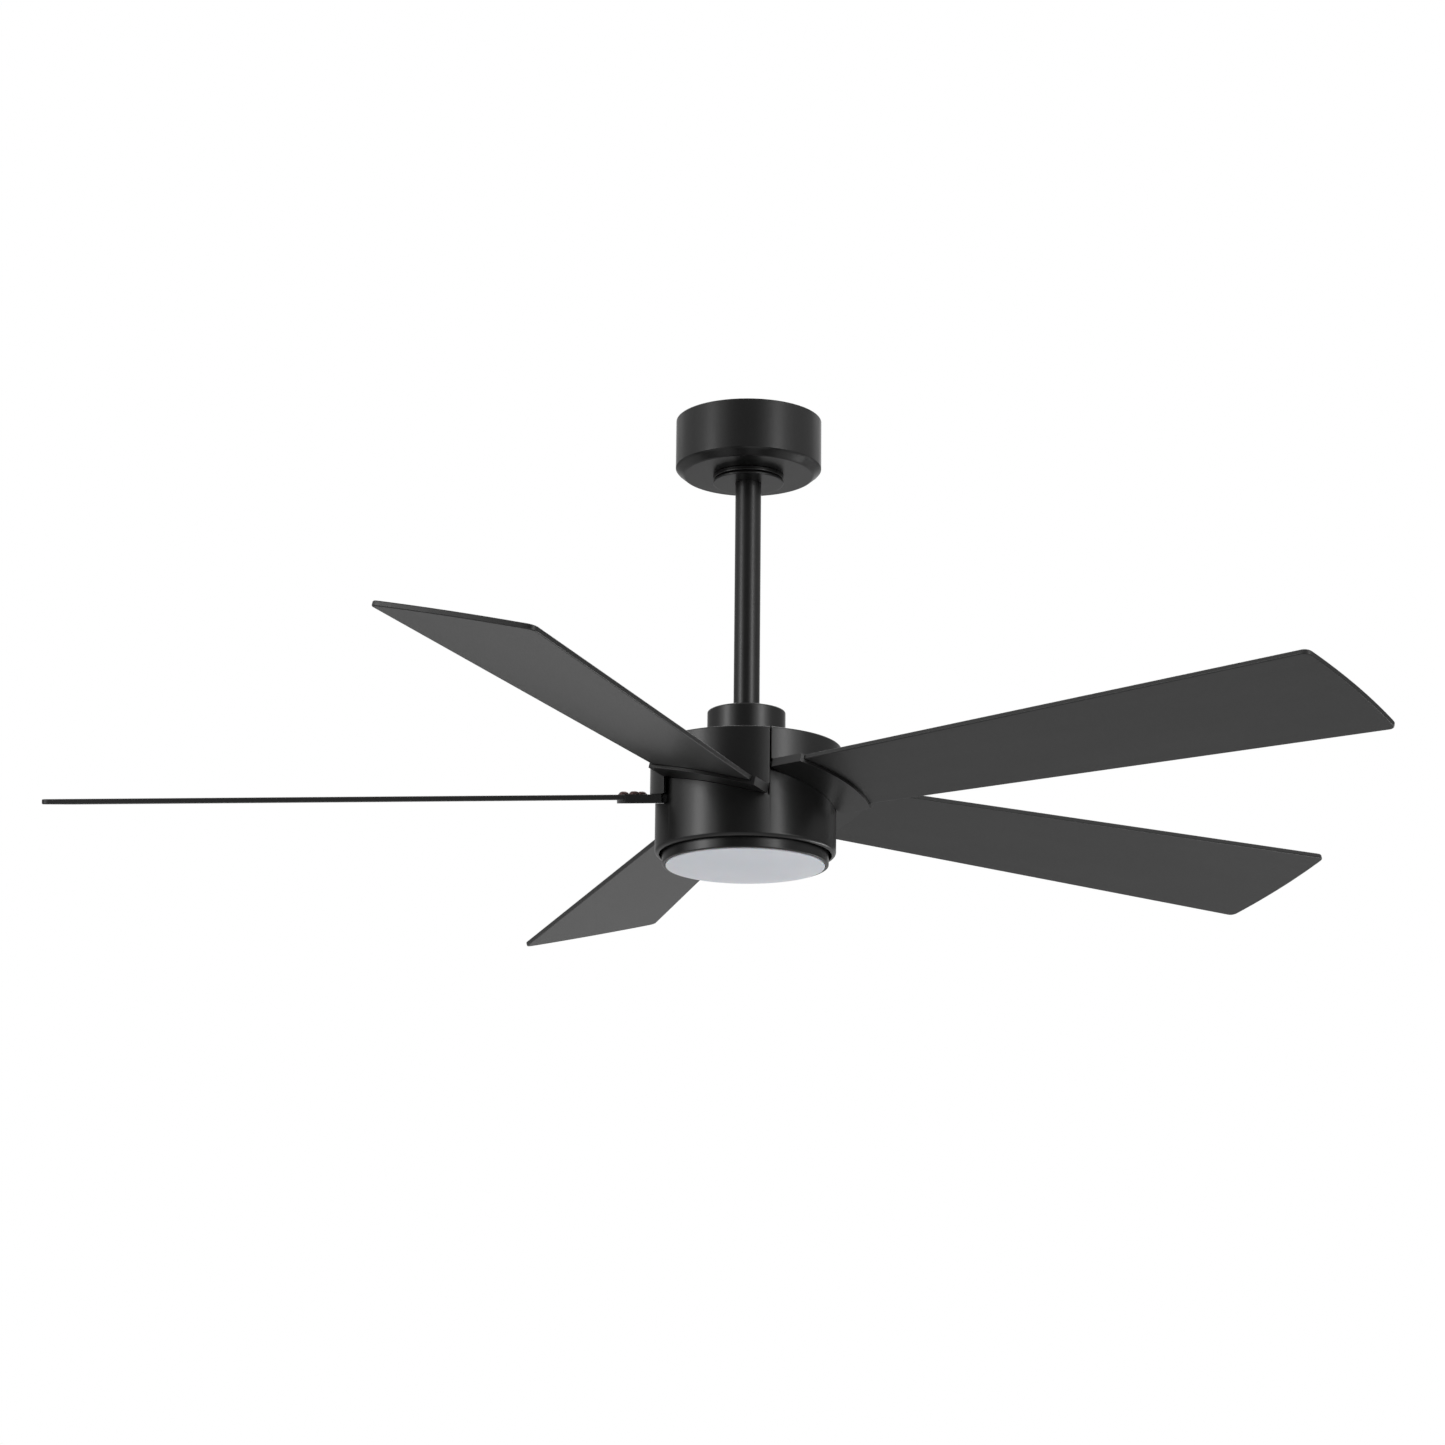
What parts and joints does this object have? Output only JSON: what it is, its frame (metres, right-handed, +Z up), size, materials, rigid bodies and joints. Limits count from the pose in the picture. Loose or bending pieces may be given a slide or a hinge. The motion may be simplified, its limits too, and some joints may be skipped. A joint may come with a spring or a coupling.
{
  "type": "ceiling fan with light",
  "caption": "Black ceiling fan on a downrod: drum motor housing with flared pitched blades and a flush frosted light below.",
  "frame": {"origin": "on the ceiling plane, at the middle of the hanger bracket's top face, on the fan's axis", "axes": "+Z up, out of the bracket into the ceiling; +X along the bracket's length; blades lie about 0.4 m below the origin"},
  "size_m": [1.3437, 1.3877, 0.483],
  "materials": {
    "black_metal": "satin black powder coat",
    "black_blade": "matte black laminate with faint grain",
    "brown_screw": "dark bronze screw heads",
    "zinc_steel": "zinc plated",
    "cast_aluminium": "as cast",
    "silicon_steel": "laminated, dark",
    "copper": "enamelled copper wire",
    "ferrite": "dull",
    "black_plastic": "moulded, matte",
    "white_plastic": "white",
    "frosted_white": "opal, frosted",
    "lead": "insulated leads"
  },
  "bodies": {
    "ceiling_mount": {"hanger_bracket": "zinc_steel", "receiver_module": "black_plastic", "canopy_shell": "black_metal", "canopy_screw_1": "zinc_steel", "canopy_screw_2": "zinc_steel", "canopy_bottom_cover": "black_metal"},
    "hanger_ball": {"hanger_ball": "black_plastic", "ball_cross_pin": "zinc_steel"},
    "downrod": {"downrod": "black_metal", "rod_trim_ring": "black_metal", "lead_bundle": "lead", "rod_yoke": "cast_aluminium", "clevis_pin": "zinc_steel", "hairpin_clip": "zinc_steel", "yoke_set_screw_1": "zinc_steel", "yoke_set_screw_2": "zinc_steel", "motor_shaft": "zinc_steel", "stator_core": "silicon_steel", "stator_winding": "copper", "light_mount_plate": "zinc_steel", "shaft_nut": "zinc_steel", "led_driver": "white_plastic", "led_board": "white_plastic", "light_ring": "black_metal", "light_screw_1": "zinc_steel", "light_screw_2": "zinc_steel"},
    "coupling_cover": {"coupling_cover": "black_metal"},
    "rotor": {"upper_bearing": "zinc_steel", "lower_bearing": "zinc_steel", "rotor_top_case": "cast_aluminium", "rotor_bottom_case": "cast_aluminium", "magnet_ring": "ferrite", "upper_housing": "black_metal", "lower_housing": "black_metal", "blade_bracket_1": "black_metal", "blade_bracket_2": "black_metal", "blade_bracket_3": "black_metal", "blade_bracket_4": "black_metal", "blade_bracket_5": "black_metal", "blade_1": "black_blade", "blade_2": "black_blade", "blade_3": "black_blade", "blade_4": "black_blade", "blade_5": "black_blade", "blade_screw_1_1": "brown_screw", "blade_screw_1_2": "brown_screw", "blade_screw_1_3": "brown_screw", "blade_screw_2_1": "brown_screw", "blade_screw_2_2": "brown_screw", "blade_screw_2_3": "brown_screw", "blade_screw_3_1": "brown_screw", "blade_screw_3_2": "brown_screw", "blade_screw_3_3": "brown_screw", "blade_screw_4_1": "brown_screw", "blade_screw_4_2": "brown_screw", "blade_screw_4_3": "brown_screw", "blade_screw_5_1": "brown_screw", "blade_screw_5_2": "brown_screw", "blade_screw_5_3": "brown_screw"},
    "diffuser": {"diffuser": "frosted_white"}
  },
  "joints": [
    {"name": "ball_tilt", "type": "hinge", "parent": "ceiling_mount", "child": "hanger_ball", "pos_m": [0, 0, -0.042], "axis": [0, 1, 0], "range_deg": [-1.3, 1.3]},
    {"name": "rod_tilt", "type": "hinge", "parent": "hanger_ball", "child": "downrod", "pos_m": [0, 0, -0.042], "axis": [1, 0, 0], "range_deg": [-1.3, 1.3]},
    {"name": "cover_slide", "type": "slide", "parent": "downrod", "child": "coupling_cover", "axis": [0, 0, 1], "range_m": [0, 0.2]},
    {"name": "rotor_spin", "type": "hinge", "parent": "downrod", "child": "rotor", "pos_m": [0, 0, -0.405], "axis": [0, 0, 1], "continuous": true},
    {"name": "diffuser_twist", "type": "hinge", "parent": "downrod", "child": "diffuser", "pos_m": [0, 0, -0.47], "axis": [0, 0, 1], "range_deg": [0, 20]}
  ]
}
